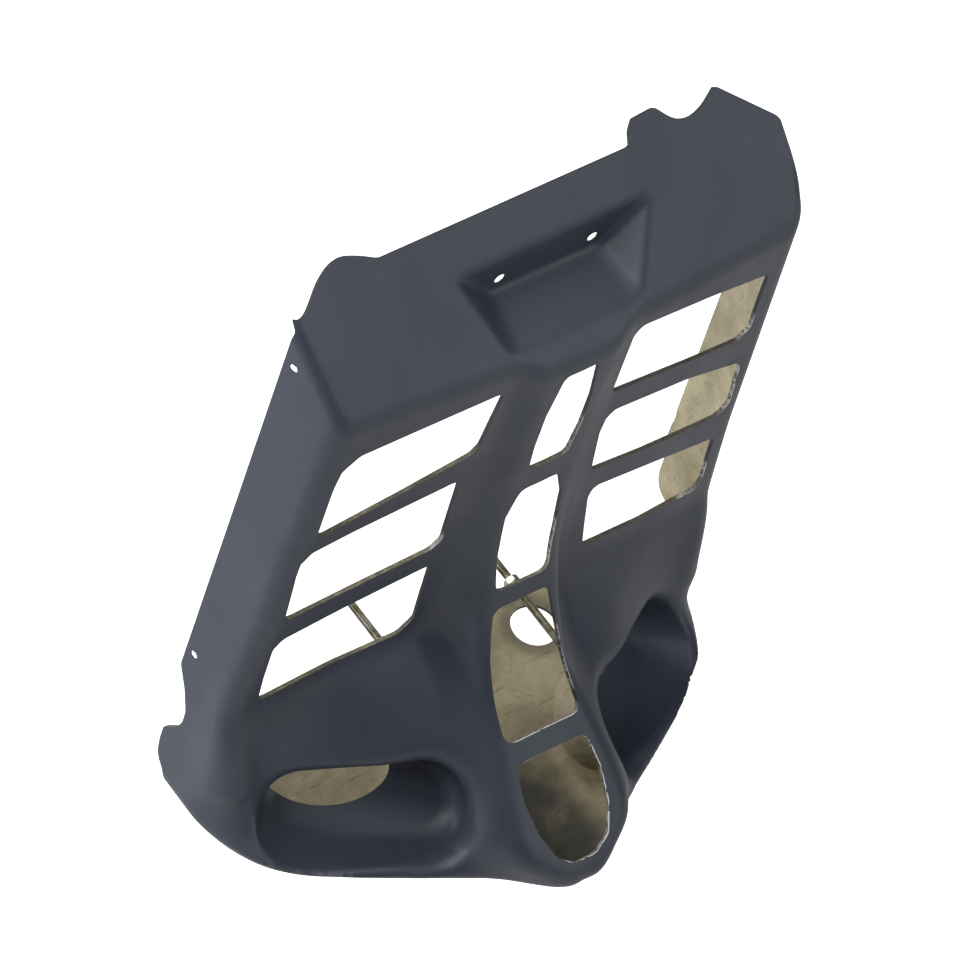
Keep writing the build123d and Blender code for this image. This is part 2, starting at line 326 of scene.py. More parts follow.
plateEdge = {
    "ear": [(-211, 32), (-205, 37), (-198, 39), (-180, 52), (-172, 56), (-160, 58), (-148, 55.5), (-132, 50)],
    "earPoints": 40, "notchPoints": 24,
    "step": [(73, 50), (75, 57), (80, 62), (99, 63)],
    "notch": [(99, 63), (111, 54.5), (122, 51.5), (133, 53), (149, 60.5)],
    "corner": [(190, 35), (193, 32), (195.5, 10), (198, -12), (213, -30)],
    "far": 450.0,
}
# stretches of edge where paint is worn off: both ends across and up, then the width of bare edge
worn = [
    ((32, -388), (31, -412), 0.8), ((30, -416), (20, -431), 1.0), ((14, -434), (-12, -435), 0.7),
    ((29, -326), (31, -353), 0.5), ((24, -372), (-20, -373), 0.7), ((24, -236), (23, -264), 0.6),
    ((19, -120), (17, -148), 0.5), ((-64, -212), (-74, -228), 0.9), ((182, -118), (172, -147), 0.8),
    ((186, -180), (187, -236), 0.7), ((189, -300), (178, -325), 0.9),
]
wornReach, wornCore = 7.0, 1.4  # fades out at the reach, from this many times the full width
rightRim = {"from": 40.0, "share": 0.4}  # on the right side the rims get this share of the tan edge and its painted light
# painted shade deep inside the nose and round the belly's holes: each pair is where it starts and where it is
# full: height, distance from the middle, depth
paintedShade = {
    "height": (-378.0, -426.0), "side": (58.0, 32.0), "front": (-70.0, -130.0),
    "hole": (31.0, 22.0), "holeShare": 0.6, "holeBelow": -440.0,
}
# rear edge of each flange from the straight stretch down: a notch, then a tab on the left only
rearEdge = {
    "left": [(6, -340), (-4, -358), (-11, -376), (-11.5, -388), (-8.4, -397.6), (2.6, -411), (2.5, -424),
             (1, -436), (-1.5, -442), (-9, -449), (-13, -458), (6, -475)],
    "right": [(6, -338), (1.3, -360), (1.3, -378), (-1, -388), (-6, -394), (-14, -397), (-18, -404),
              (-16, -424), (-7, -440), (-3, -450), (6, -462)],
}


def lineDistance(start, end, u, v):
    # distance to the nearest point of the straight line between two ends
    du, dv = end[0] - start[0], end[1] - start[1]
    u, v = u - start[0], v - start[1]
    t = np.clip((u * du + v * dv) / (du * du + dv * dv), 0, 1)
    return np.hypot(u - t * du, v - t * dv)


def outlineDistance(corners, u, v):
    # distance to the nearest side of a closed outline, negative where a line to the right of the
    # point crosses an odd number of sides
    near = np.full(u.shape, 1e9)
    odd = np.zeros(u.shape, bool)
    for (u0, v0), (u1, v1) in zip(corners, corners[1:] + corners[:1]):
        near = np.minimum(near, lineDistance((u0, v0), (u1, v1), u, v))
        if v0 != v1:
            odd ^= ((v0 > v) != (v1 > v)) & (u < u0 + (v - v0) * (u1 - u0) / (v1 - v0))
    return np.where(odd, -near, near)


def roundedDistance(corners, r, u, v):
    # the outline with each side moved in by r, and the distance to that less r, which rounds it
    points = np.array(corners, float)
    side = np.roll(points, -1, 0) - points
    side /= np.linalg.norm(side, axis=1)[:, None]
    turn = np.sign(np.cross(side, np.roll(side, -1, 0)).sum())
    inward = turn * np.stack([-side[:, 1], side[:, 0]], 1)
    before, beforeIn = np.roll(side, 1, 0), np.roll(inward, 1, 0)
    shift = ((inward - beforeIn) * r * side).sum(1)
    across = (before * side).sum(1)
    run = (shift - ((inward - beforeIn) * r * before).sum(1) * across) / (1 - across ** 2)
    moved = points + inward * r - side * run[:, None]
    return outlineDistance([tuple(p) for p in moved], u, v) - r


def between(q, low, high):
    return np.maximum(low - q, q - high)


def openingsField(x, y, z):
    # the nearest of the louvres and the spine's openings
    nearest = np.full(x.shape, 1e9)
    for across, side in ((-x, "leftLouvres"), (x, "rightLouvres")):
        for corners in cuts[side]:
            louvre = roundedDistance(corners, cuts["louvreR"], across, z)
            nearest = np.minimum(nearest, np.maximum(louvre, between(y, *cuts["louvreY"])))
    for corners, radius, (faceY, faceZ), lean in cuts["spine"]:
        tilt = np.radians(lean)
        up = (z - faceZ) * np.cos(tilt) + (y - faceY) * np.sin(tilt)
        out = (z - faceZ) * np.sin(tilt) - (y - faceY) * np.cos(tilt)
        right = [(half, (height - faceZ) / np.cos(tilt)) for half, height in corners]
        left = [(-half, height) for half, height in reversed(right)]
        opening = roundedDistance(right + left, radius, x, up)
        nearest = np.minimum(nearest, np.maximum(opening, np.abs(out) - cuts["spineReach"]))
    return nearest


def holesField(x, y, z):
    # the nearest of the bolt holes, flange holes, belly holes and the scoops' vents
    ax = np.abs(x)
    nearest = np.maximum(np.hypot(ax - cuts["boltX"], z) - cuts["boltR"], np.abs(y) - cuts["boltBand"])
    for height in cuts["flangeZ"]:
        hole = np.hypot(y - cuts["flangeY"], z - height) - cuts["flangeR"]
        nearest = np.minimum(nearest, np.maximum(hole, cuts["flangeFrom"] - cuts["flangeSide"] * x))
    belly = np.hypot(ax - cuts["bellyAt"][0], y - cuts["bellyAt"][1]) - cuts["bellyR"]
    nearest = np.minimum(nearest, np.maximum(belly, z - cuts["bellyBelow"]))
    a, b, c = mouthPlace(ax, y, z)
    a, b = a - scoop["ventAt"][0], b - scoop["ventAt"][1]
    tilt = np.radians(scoop["ventTilt"])
    a, b = a * np.cos(tilt) + b * np.sin(tilt), b * np.cos(tilt) - a * np.sin(tilt)
    ha, hb = scoop["ventHalf"]
    size = np.hypot(a / ha, b / hb)
    vent = (size - 1) * size / np.maximum(np.hypot(a / ha ** 2, b / hb ** 2), 1e-6)
    shallow, deep = scoop["ventDepth"]
    return np.minimum(nearest, np.maximum(vent, between(c, -deep, -shallow)))


def trimField(x, y, z):
    # the plate's cut outline seen from the front, and the rear edge of the flanges seen from the side
    ear = np.linspace(plateEdge["ear"][0][0], plateEdge["ear"][-1][0], plateEdge["earPoints"])
    notch = np.linspace(plateEdge["notch"][0][0], plateEdge["notch"][-1][0], plateEdge["notchPoints"])
    far = plateEdge["far"]
    edge = list(zip(ear, smoothCurve(plateEdge["ear"], ear))) + plateEdge["step"][:-1]
    edge += list(zip(notch, smoothCurve(plateEdge["notch"], notch))) + plateEdge["corner"]
    edge += [(far, plateEdge["corner"][-1][1]), (far, far), (-far, far), (-far, plateEdge["ear"][0][1])]
    plate = outlineDistance(edge, x, z)
    low = cover["floorZ"] - 10
    rear = cover["rearY"]
    left, right = [
        outlineDistance([(far, far), (rear, far), *rearEdge[side], (rear, low), (far, low)], y, z)
        for side in ("left", "right")
    ]
    flange = np.maximum(np.where(x < 0, left, right), plateHeight(y, z) + cover["wall"])
    return np.minimum(plate, flange)


def raggedEdge(x, y, z):
    return cuts["ragged"] * ripple(x, y, z, cuts["raggedLength"], 0.7)


def openings(x, y, z):
    # everything that is cut away, with the slightly uneven line of a hand-finished edge
    cut = np.minimum(openingsField(x, y, z) + raggedEdge(x, y, z), holesField(x, y, z))
    return np.minimum(cut, trimField(x, y, z))


def wornWidth(x, z):
    # the width of bare edge beside the nearest worn stretch, fading out at the reach
    width = np.zeros(x.shape)
    for start, end, most in worn:
        away = lineDistance(start, end, x, z)
        width = np.maximum(width, most * ease(wornCore - away / wornReach))
    return width


def edgeValues(verts):
    # per vertex: distance to the nearest opening, width of bare edge, how far a rim faces upwards
    # (for the tan edge and its painted light, less on the right), and painted shade in the nose and round the
    # belly's holes
    x, y, z = verts.T
    # a rim that faces upwards gets the tan edge: bare laminate, and painted light from above
    bareAndLit = np.clip(-slopeOf(openingsField, verts)[:, 2], 0, 1)
    bareAndLit = bareAndLit * np.where(x > rightRim["from"], rightRim["share"], 1.0)
    # painted shade: darker deep inside the nose, and below the belly round each belly hole
    shadeAmount = ease(z, *paintedShade["height"]) * ease(y, *paintedShade["front"]) * ease(np.abs(x), *paintedShade["side"])
    hole = np.hypot(np.abs(x) - cuts["bellyAt"][0], y - cuts["bellyAt"][1])
    ring = ease(hole, *paintedShade["hole"]) * (z < paintedShade["holeBelow"])
    shadeAmount = np.maximum(shadeAmount, ring * paintedShade["holeShare"])
    edge = np.maximum(openingsField(x, y, z), 0)
    return {"edge": edge, "worn": wornWidth(x, z), "bareAndToplit": bareAndLit, "paintedShade": shadeAmount}


def snapToCut(verts, near):
    # a vertex closer to the cut line than near moves onto it, so that no sliver is left beside it
    g = slopeOf(openings, verts)
    d = openings(*verts.T)
    normals = normalsAt(verts)
    level = g - (g * normals).sum(1)[:, None] * normals
    step = d / np.maximum((level ** 2).sum(1), leastSlope)
    close = np.abs(step) < near
    verts = verts.copy()
    verts[close] -= level[close] * step[close][:, None]
    d[close] = 0
    return verts, d


def normalsAt(verts):
    g = slopeOf(coverField, verts)
    return g / np.linalg.norm(g, axis=1)[:, None]


def clip(verts, tris, d):
    # keeps the part of a mesh where d is not negative: a triangle that the line d = 0 crosses is cut
    # at the crossing, which two triangles with the same side share
    keep = d[tris] >= 0
    count = keep.sum(1)
    whole = tris[count == 3]
    mixed, kept = tris[(count == 1) | (count == 2)], keep[(count == 1) | (count == 2)]
    single = kept.sum(1) == 1
    odd = np.argmax(kept == single[:, None], 1)
    turned = np.stack([np.take_along_axis(mixed, ((odd + k) % 3)[:, None], 1)[:, 0] for k in range(3)], 1)
    sides = np.sort(np.concatenate([turned[:, [0, 1]], turned[:, [0, 2]]]), 1)
    pairs, where = np.unique(sides, axis=0, return_inverse=True)
    where = where.reshape(-1) + len(verts)
    t = d[pairs[:, 0]] / (d[pairs[:, 0]] - d[pairs[:, 1]])
    fresh = verts[pairs[:, 0]] + (verts[pairs[:, 1]] - verts[pairs[:, 0]]) * t[:, None]
    ab, ac = where[:len(turned)], where[len(turned):]
    a, b, c = turned.T
    parts = [
        whole,
        np.stack([a, ab, ac], 1)[single],
        np.stack([ab, b, c], 1)[~single],
        np.stack([ab, c, ac], 1)[~single],
    ]
    return np.concatenate([verts, fresh]), np.concatenate(parts), np.concatenate([d, np.zeros(len(fresh))])


def weldAndTidy(verts, tris, d):
    # vertices at one place become one, flat triangles go, and unused vertices go
    _, first, same = np.unique(np.round(verts, 3), axis=0, return_index=True, return_inverse=True)
    tris = same.reshape(-1)[tris]
    verts, d = verts[first], d[first]
    a, b, c = tris.T
    tris = tris[(a != b) & (b != c) & (c != a)]
    used = np.zeros(len(verts), bool)
    used[tris] = True
    renumber = np.cumsum(used) - 1
    return verts[used], renumber[tris], d[used]


def largestPiece(verts, tris, d):
    # labels spread over the triangles until they stop changing; the most common label is the cover
    label = np.arange(len(verts))
    while True:
        low = label[tris].min(1)
        fresh = label.copy()
        for k in range(3):
            np.minimum.at(fresh, tris[:, k], low)
        fresh = fresh[fresh]
        if (fresh == label).all():
            break
        label = fresh
    names, counts = np.unique(label[tris[:, 0]], return_counts=True)
    return weldAndTidy(verts, tris[label[tris[:, 0]] == names[np.argmax(counts)]], d)


def thinning(x, y, z):
    # the wall's share of its full thickness, less close to the bolt holes and flange holes
    bolt = np.hypot(np.abs(x) - cuts["boltX"], z)
    flange = np.min([np.hypot(y - cuts["flangeY"], z - height) for height in cuts["flangeZ"]], 0)
    near = np.where(np.abs(y) < cuts["thinBoltBand"], bolt, np.inf)
    near = np.minimum(near, np.where(np.abs(x) > cuts["thinFlangeFrom"], flange, np.inf))
    return mix(cuts["thinShare"], 1.0, ease(near, *cuts["thinBand"]))


def coverShell():
    # the outside surface, cut, then doubled one wall further in, with a rim between the two
    verts, quads = surfaceNet(coverField, cover["low"], cover["high"], cover["step"])
    verts = settle(coverField, verts)
    verts, d = snapToCut(verts, cover["snap"] * cover["step"])
    short = np.linalg.norm(verts[quads[:, 0]] - verts[quads[:, 2]], axis=1) < np.linalg.norm(
        verts[quads[:, 1]] - verts[quads[:, 3]], axis=1)
    a, b, c, e = quads.T
    tris = np.concatenate([
        np.stack([a, b, c], 1)[short], np.stack([a, c, e], 1)[short],
        np.stack([a, b, e], 1)[~short], np.stack([b, c, e], 1)[~short],
    ])
    verts, tris, d = clip(verts, tris, d)
    verts, tris, d = weldAndTidy(verts, tris, d)
    verts, tris, d = largestPiece(verts, tris, d)
    normals = normalsAt(verts)
    rough = cover["laminate"] * ripple(*verts.T, cover["laminateLength"], 1.9)
    rough = rough * ramp(d, 0, cover["laminateFade"])
    inner = verts - normals * (cover["wall"] * thinning(*verts.T) + rough)[:, None]
    sides = np.concatenate([tris[:, [0, 1]], tris[:, [1, 2]], tris[:, [2, 0]]])
    key = np.sort(sides, 1) @ np.array([len(verts), 1])
    _, first, times = np.unique(key, return_index=True, return_counts=True)
    p, q = sides[first[times == 1]].T
    n = len(verts)
    rim = np.concatenate([np.stack([q, p, p + n], 1), np.stack([q, p + n, q + n], 1)])
    faces = np.concatenate([tris, tris[:, ::-1] + n, rim])
    part = np.repeat([0, 1, 2], [len(tris), len(tris), len(rim)])
    values = {name: np.tile(value, 2) for name, value in edgeValues(verts).items()}
    return np.concatenate([verts, inner]), faces, part, values


def addPiece(name, verts, faces, materials, part=None, sharpAngle=45.0):
    # verts in millimetres; faces with three or four corners; part is each face's place in materials
    mesh = bpy.data.meshes.new(name)
    mesh.from_pydata((np.asarray(verts) * mm).tolist(), [], [list(face) for face in faces])
    for material in materials:
        mesh.materials.append(material)
    if part is not None:
        mesh.polygons.foreach_set("material_index", np.asarray(part, np.int32))
    mesh.polygons.foreach_set("use_smooth", np.ones(len(faces), bool))
    mesh.set_sharp_from_angle(angle=np.radians(sharpAngle))
    mesh.update()
    piece = bpy.data.objects.new(name, mesh)
    bpy.context.scene.collection.objects.link(piece)
    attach(piece, "root")
    print("made", name, "with", len(faces), "faces")
    return piece


def feed(tree, node, inputs):
    # a number, vector or colour is set on its input, and another node's output is linked to it
    for key, value in inputs.items():
        socket = node.inputs[key]
        if isinstance(value, bpy.types.NodeSocket):
            tree.links.new(value, socket)
        else:
            socket.default_value = (*value, 1.0) if socket.type == "RGBA" else value


def addNode(tree, kind, inputs=None, **settings):
    node = tree.nodes.new(kind)
    for key, value in settings.items():
        setattr(node, key, value)
    feed(tree, node, inputs or {})
    return node


def newEffect(name, outputs, **numbers):
    # a node group with a Vector input, an input for each number, and a number for each output
    tree = bpy.data.node_groups.new(name, "ShaderNodeTree")
    tree.interface.new_socket(name="Vector", in_out="INPUT", socket_type="NodeSocketVector")
    for label, value in numbers.items():
        socket = tree.interface.new_socket(name=label, in_out="INPUT", socket_type="NodeSocketFloat")
        socket.default_value = value
    for label in outputs:
        tree.interface.new_socket(name=label, in_out="OUTPUT", socket_type="NodeSocketFloat")
    return tree, addNode(tree, "NodeGroupInput").outputs, addNode(tree, "NodeGroupOutput")


def noise(tree, vector, scale, detail=4.0, rough=0.55, distortion=0.0):
    inputs = {"Vector": vector, "Scale": scale, "Detail": detail, "Roughness": rough, "Distortion": distortion}
    return addNode(tree, "ShaderNodeTexNoise", inputs).outputs["Fac"]


def remap(tree, value, low, high, toLow=0.0, toHigh=1.0):
    inputs = {"Value": value, "From Min": low, "From Max": high, "To Min": toLow, "To Max": toHigh}
    return addNode(tree, "ShaderNodeMapRange", inputs, interpolation_type="SMOOTHSTEP").outputs["Result"]


def calc(tree, operation, first, *others):
    # the operation carried from left to right over all the values
    for value in others:
        first = addNode(tree, "ShaderNodeMath", {0: first, 1: value}, operation=operation).outputs[0]
    return first


def blendColours(tree, factor, a, b):
    return addNode(tree, "ShaderNodeMix", {"Factor": factor, 6: a, 7: b}, data_type="RGBA").outputs[2]


def stretched(tree, vector, turn, scale):
    inputs = {"Vector": vector, "Rotation": np.radians(turn), "Scale": scale}
    return addNode(tree, "ShaderNodeMapping", inputs).outputs["Vector"]


def buildSpecks():
    # small spots: the peaks of a fine noise, fewer where a broad noise is low
    tree, given, result = newEffect("specks", ["Mask"], Scale=900.0, Amount=0.5)
    fine = noise(tree, given["Vector"], given["Scale"], 2.0, 0.5)
    broad = noise(tree, given["Vector"], 18.0, 3.0)
    spots = remap(tree, fine, 0.66, 0.74)
    patches = remap(tree, broad, 0.4, 0.65)
    feed(tree, result, {"Mask": calc(tree, "MULTIPLY", spots, patches, given["Amount"])})
    return tree


def buildStrands():
    # chopped glass strands under resin: three long thin noises at different turns, the brightest shows
    tree, given, result = newEffect("strands", ["Mask", "Height"], Scale=60.0)
    place = given["Vector"]
    wobble = addNode(tree, "ShaderNodeTexNoise", {"Vector": place, "Scale": 26.0}).outputs["Color"]
    shrink = addNode(tree, "ShaderNodeVectorMath", {0: wobble, "Scale": 0.012}, operation="SCALE").outputs[0]
    bent = addNode(tree, "ShaderNodeVectorMath", {0: place, 1: shrink}, operation="ADD").outputs[0]
    layers = []
    for turn in ((20, 35, 10), (-50, 15, 70), (65, -30, 130)):
        long = stretched(tree, bent, turn, (0.5, 6.0, 6.0))
        layers.append(remap(tree, noise(tree, long, given["Scale"], 3.0, 0.6), 0.5, 0.72))
    feed(tree, result, {"Mask": calc(tree, "MAXIMUM", *layers), "Height": calc(tree, "ADD", *layers)})
    return tree


def buildChips():
    # paint gone beside a cut edge: where the distance to the edge is less than an uneven width
    tree, given, result = newEffect("chips", ["Mask"], Edge=5.0, Width=1.0)
    uneven = remap(tree, noise(tree, given["Vector"], 95.0, 4.0, 0.6), 0.38, 0.48)
    width = calc(tree, "MULTIPLY", uneven, given["Width"])
    feed(tree, result, {"Mask": calc(tree, "LESS_THAN", given["Edge"], width)})
    return tree


def buildScratches():
    # a few long strokes that lie one way: the peaks of a noise drawn out along them
    tree, given, result = newEffect("scratches", ["Mask"])
    drawn = stretched(tree, given["Vector"], (0, 0, -38), (1.0, 11.0, 5.0))
    feed(tree, result, {"Mask": remap(tree, noise(tree, drawn, 34.0, 2.0, 0.5, 0.3), 0.65, 0.72)})
    return tree


effects = {
    "specks": buildSpecks(), "strands": buildStrands(), "chips": buildChips(), "scratches": buildScratches(),
}


def useEffect(tree, name, **values):
    return addNode(tree, "ShaderNodeGroup", values, node_tree=effects[name]).outputs


def newFinish(name):
    material = bpy.data.materials.new(name)
    material.use_nodes = True
    tree = material.node_tree
    shader = tree.nodes["Principled BSDF"]
    place = addNode(tree, "ShaderNodeTexCoord").outputs["Object"]
    return material, tree, shader, place


def dress(tree, shader, colour, rough, height, bump):
    # what every finish has: its colour, roughness and bump
    node = addNode(tree, "ShaderNodeBump", {"Height": height, "Distance": bump[0], "Strength": bump[1]})
    feed(tree, shader, {"Base Color": colour, "Roughness": rough, "Normal": node.outputs["Normal"]})


def ownValue(tree, name):
    return addNode(tree, "ShaderNodeAttribute", attribute_name=name).outputs["Fac"]


# in every finish: colours, roughness low and high, noise scales, and bump as distance and strength
paint = {
    "deep": (0.033, 0.041, 0.062), "pale": (0.043, 0.052, 0.074), "cloudScale": 7.0,
    "dust": (0.12, 0.12, 0.12), "dustScale": 1100.0, "dustAmount": 0.3,
    "chip": (0.88, 0.87, 0.85), "chipRough": 0.3, "chipDepth": 1.2,
    "roughness": (0.40, 0.50), "sheenScale": 24.0, "coat": 0.12, "coatRoughness": 0.35,
    "grainScale": 900.0, "grainShare": 0.12, "waveScale": 45.0, "bump": (0.00025, 0.5),
}


def paintFinish():
    # satin paint: two tones in broad clouds, dust, chips beside worn edges, fine grain
    material, tree, shader, place = newFinish("satinPaint")
    cloud = remap(tree, noise(tree, place, paint["cloudScale"], 4.0), 0.35, 0.65)
    colour = blendColours(tree, cloud, paint["deep"], paint["pale"])
    dust = useEffect(tree, "specks", Vector=place, Scale=paint["dustScale"], Amount=paint["dustAmount"])["Mask"]
    colour = blendColours(tree, dust, colour, paint["dust"])
    edge, worn = ownValue(tree, "edge"), ownValue(tree, "worn")
    chips = useEffect(tree, "chips", Vector=place, Edge=edge, Width=worn)["Mask"]
    colour = blendColours(tree, chips, colour, paint["chip"])
    sheen = remap(tree, noise(tree, place, paint["sheenScale"], 5.0), 0.3, 0.7, *paint["roughness"])
    rough = calc(tree, "ADD", sheen, calc(tree, "MULTIPLY", chips, paint["chipRough"]))
    feed(tree, shader, {"Coat Weight": paint["coat"], "Coat Roughness": paint["coatRoughness"]})
    grain = calc(tree, "MULTIPLY", noise(tree, place, paint["grainScale"], 3.0, 0.6), paint["grainShare"])
    height = calc(tree, "ADD", grain, noise(tree, place, paint["waveScale"], 2.0))
    height = calc(tree, "SUBTRACT", height, calc(tree, "MULTIPLY", chips, paint["chipDepth"]))
    dress(tree, shader, colour, rough, height, paint["bump"])
    return material


laminate = {
    "dark": (0.265, 0.232, 0.143), "light": (0.45, 0.40, 0.262), "blotchScale": 13.0,
    "strand": (0.50, 0.45, 0.34), "strandScale": 42.0, "strandShare": 0.16,
    "stain": (0.13, 0.10, 0.06), "stainScale": 30.0, "stainShare": 0.5,
    "mottleScale": 260.0, "mottleShare": 0.3, "scratchShare": 0.55,
    # colour and patchiness of the painted shade inside the nose and round the belly's holes
    "paintedShade": (0.060, 0.058, 0.050), "paintedShadeScale": 40.0, "paintedShadeShare": (0.6, 0.95),
    "roughness": (0.42, 0.68), "sheenScale": 60.0, "bump": (0.00025, 0.5),
}


def laminateFinish():
    # raw glass laminate: blotches, strands, stains, scratches, and painted shade where the piece's attribute
    # says
    material, tree, shader, place = newFinish("rawLaminate")
    blotch = remap(tree, noise(tree, place, laminate["blotchScale"], 6.0, 0.6, 0.6), 0.34, 0.66)
    colour = blendColours(tree, blotch, laminate["dark"], laminate["light"])
    strands = useEffect(tree, "strands", Vector=place, Scale=laminate["strandScale"])
    shown = calc(tree, "MULTIPLY", strands["Mask"], laminate["strandShare"])
    colour = blendColours(tree, shown, colour, laminate["strand"])
    stain = noise(tree, place, laminate["stainScale"], 7.0, 0.7, 1.6)
    mottle = noise(tree, place, laminate["mottleScale"], 4.0, 0.7)
    scratches = useEffect(tree, "scratches", Vector=place)["Mask"]
    for mask in (
        remap(tree, stain, 0.54, 0.74, 0.0, laminate["stainShare"]),
        remap(tree, mottle, 0.5, 0.75, 0.0, laminate["mottleShare"]),
        calc(tree, "MULTIPLY", scratches, laminate["scratchShare"]),
    ):
        colour = blendColours(tree, mask, colour, laminate["stain"])
    # painted shade: the darkening deep in the nose and round the belly's holes, made patchy
    patchy = remap(tree, noise(tree, place, laminate["paintedShadeScale"], 5.0), 0.25, 0.6, *laminate["paintedShadeShare"])
    shadeAmount = calc(tree, "MULTIPLY", ownValue(tree, "paintedShade"), patchy)
    colour = blendColours(tree, shadeAmount, colour, laminate["paintedShade"])
    rough = remap(tree, noise(tree, place, laminate["sheenScale"], 4.0), 0.3, 0.7, *laminate["roughness"])
    dress(tree, shader, colour, rough, strands["Height"], laminate["bump"])
    return material


resinLook = {
    "tone": (0.052, 0.036, 0.018), "streak": (0.13, 0.10, 0.06), "streakScale": 120.0, "streakShare": 0.5,
    "roughness": 0.4, "bump": (0.0004, 0.6),
}


def resinFinish():
    # dark resin with paler streaks
    material, tree, shader, place = newFinish("darkResin")
    streak = noise(tree, place, resinLook["streakScale"], 5.0, 0.6, 1.0)
    streak = remap(tree, streak, 0.35, 0.7, 0.0, resinLook["streakShare"])
    colour = blendColours(tree, streak, resinLook["tone"], resinLook["streak"])
    dress(tree, shader, colour, resinLook["roughness"], streak, resinLook["bump"])
    return material


cutEdge = {
    "painted": (0.022, 0.022, 0.022), "tan": (0.33, 0.29, 0.20), "pale": (0.66, 0.64, 0.59), "paleShare": 0.8,
    "layerScale": 320.0, "patchScale": 24.0, "roughness": 0.7, "bump": (0.0004, 0.8),
}


def cutEdgeFinish():
    # the rim of an opening: painted over, tan where it faces up, which is bare laminate and painted light from
    # above, pale where it is worn
    material, tree, shader, place = newFinish("cutEdge")
    layers = remap(tree, noise(tree, place, cutEdge["layerScale"], 5.0, 0.7), 0.38, 0.66)
    patches = remap(tree, noise(tree, place, cutEdge["patchScale"], 3.0), 0.34, 0.56, 0.45, 1.0)
    patches = calc(tree, "MULTIPLY", patches, remap(tree, layers, 0, 1, 0.5, 1))
    # tan where the rim faces upwards: bare laminate and painted light from above
    bareAndLit = calc(tree, "MULTIPLY", ownValue(tree, "bareAndToplit"), patches)
    colour = blendColours(tree, bareAndLit, cutEdge["painted"], cutEdge["tan"])
    gone = calc(tree, "MULTIPLY", ownValue(tree, "worn"), layers, cutEdge["paleShare"])
    colour = blendColours(tree, gone, colour, cutEdge["pale"])
    dress(tree, shader, colour, cutEdge["roughness"], layers, cutEdge["bump"])
    return material


zinc = {
    "bright": (0.56, 0.55, 0.49), "yellow": (0.30, 0.29, 0.21), "cloudScale": 90.0,
    "tarnish": (0.10, 0.09, 0.06), "tarnishScale": 1400.0, "tarnishAmount": 0.6,
    "roughness": (0.28, 0.5), "sheenScale": 240.0, "grainScale": 1500.0, "bump": (0.00008, 0.4),
}


def zincFinish():
    # zinc-plated steel: bright and yellowed patches with specks of tarnish
    material, tree, shader, place = newFinish("zincSteel")
    cloud = remap(tree, noise(tree, place, zinc["cloudScale"], 5.0), 0.4, 0.66)
    colour = blendColours(tree, cloud, zinc["bright"], zinc["yellow"])
    specks = useEffect(tree, "specks", Vector=place, Scale=zinc["tarnishScale"], Amount=zinc["tarnishAmount"])
    colour = blendColours(tree, specks["Mask"], colour, zinc["tarnish"])
    feed(tree, shader, {"Metallic": 1.0})
    rough = remap(tree, noise(tree, place, zinc["sheenScale"], 4.0), 0.3, 0.7, *zinc["roughness"])
    dress(tree, shader, colour, rough, noise(tree, place, zinc["grainScale"], 2.0), zinc["bump"])
    return material


finishes = {
    "paint": paintFinish(), "laminate": laminateFinish(), "cutEdge": cutEdgeFinish(), "resin": resinFinish(),
    "zinc": zincFinish(),
}
print("finishes made:", len(finishes))


shellVerts, shellFaces, shellPart, shellValues = coverShell()
shell = addPiece("painted_cover", shellVerts, shellFaces,
                 [finishes["paint"], finishes["laminate"], finishes["cutEdge"]], shellPart)
for valueName, pointValues in shellValues.items():
    attribute = shell.data.attributes.new(valueName, "FLOAT", "POINT")
    attribute.data.foreach_set("value", pointValues.astype(np.float32))
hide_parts("cover_shell")


stud = {
    "x": 56.4, "z": -377.0, "front": -112.0, "rear": 21.5, "r": 3.0, "pitch": 1.0, "thread": 0.54,
    "point": 1.2, "around": 24, "perTurn": 6,
}
nut = {
    "across": 10.0, "front": -30.0, "height": 5.0, "boreR": 3.1, "boreBevel": 0.3,
    "faceR": 4.75, "bevelAngle": 30.0, "bevelDepths": (0.0, 0.25, 0.5, 0.8), "around": 72,
}
washer = {"r": 6.0, "boreR": 3.2, "boreBevel": 0.2, "thickness": 1.6, "soft": 0.35, "around": 48}
resin = {
    "r": 12.5, "rear": -104.0, "front": -124.0, "waist": 0.55, "lump": 1.3, "lumpLength": 11.0,
    "sink": 0.7,  # of the wall: how deep the pad reaches into the cover
    "around": 64, "along": 26,
}


def turnedGrid(radius, place, angle, side):
    # points at a radius and a place along Y, all three given on a grid of angle by place
    x = side * stud["x"] + radius * np.cos(angle)
    z = stud["z"] + radius * np.sin(angle)
    return np.stack([x, place, z], -1).reshape(-1, 3)


def gridFaces(rows, columns, closedRows=False):
    # one four-sided face per grid cell; the columns go round, and so do the rows when closed
    last = rows if closedRows else rows - 1
    i, j = np.meshgrid(np.arange(last), np.arange(columns), indexing="ij")
    i2, j2 = (i + 1) % rows, (j + 1) % columns
    return np.stack([i * columns + j, i * columns + j2, i2 * columns + j2, i2 * columns + j], -1).reshape(-1, 4)


def anglesRound(count):
    return np.arange(count) / count * 2 * np.pi


def closedTube(verts, rows, around, ends, inward=False):
    # rows of points round an axis, with a closing point at each end
    n, j = len(verts), np.arange(around)
    nextOne = (j + 1) % around
    faces = gridFaces(rows, around).tolist() + np.stack([np.full(around, n), nextOne, j], 1).tolist()
    faces += np.stack([np.full(around, n + 1), n - around + j, n - around + nextOne], 1).tolist()
    if inward:
        faces = [face[::-1] for face in faces]
    return np.concatenate([verts, ends]), faces


def closedRing(rows, angle, side):
    # a loop of rows, each with its radius and its place along Y, carried round the axis
    radius = np.stack([np.broadcast_to(r, angle.shape) for r, _ in rows])
    place = np.stack([np.full(angle.shape, y) for _, y in rows])
    return turnedGrid(radius, place, angle[None, :], side), gridFaces(len(rows), len(angle), True)


